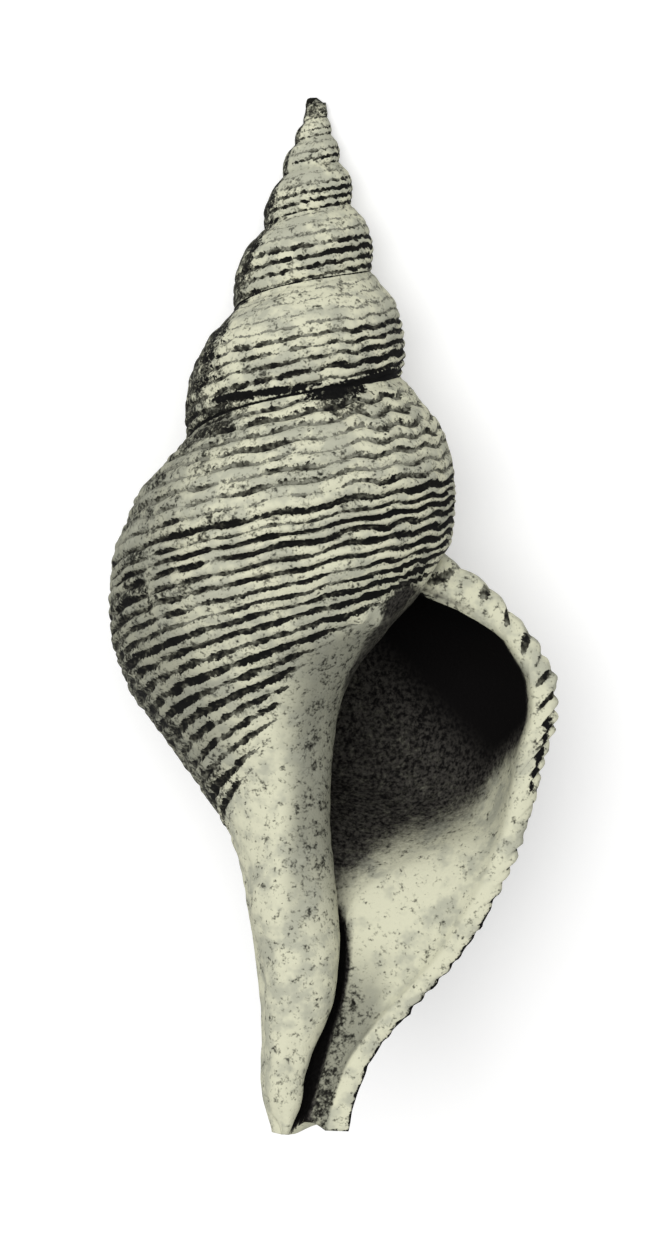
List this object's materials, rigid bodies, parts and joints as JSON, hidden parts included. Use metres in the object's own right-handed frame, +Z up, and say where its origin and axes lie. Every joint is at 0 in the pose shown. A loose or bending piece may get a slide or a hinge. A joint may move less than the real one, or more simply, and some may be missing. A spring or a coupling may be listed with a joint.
{
  "type": "fossil spindle shell",
  "caption": "Fossil spindle-shaped sea snail shell with a tall stepped spire, fine spiral cords, an open oval mouth and a long straight canal, lying on its back.",
  "frame": {"origin": "bottom centre of the shell's box, on the surface that it lies on", "axes": "+Z up, +Y along the shell towards the tip of the spire, +X towards the outer lip; the mouth faces up"},
  "size_m": [0.0342, 0.075, 0.03],
  "materials": {
    "fossil_shell": "matte"
  },
  "bodies": {
    "root": {"shell": "fossil_shell"}
  },
  "joints": []
}
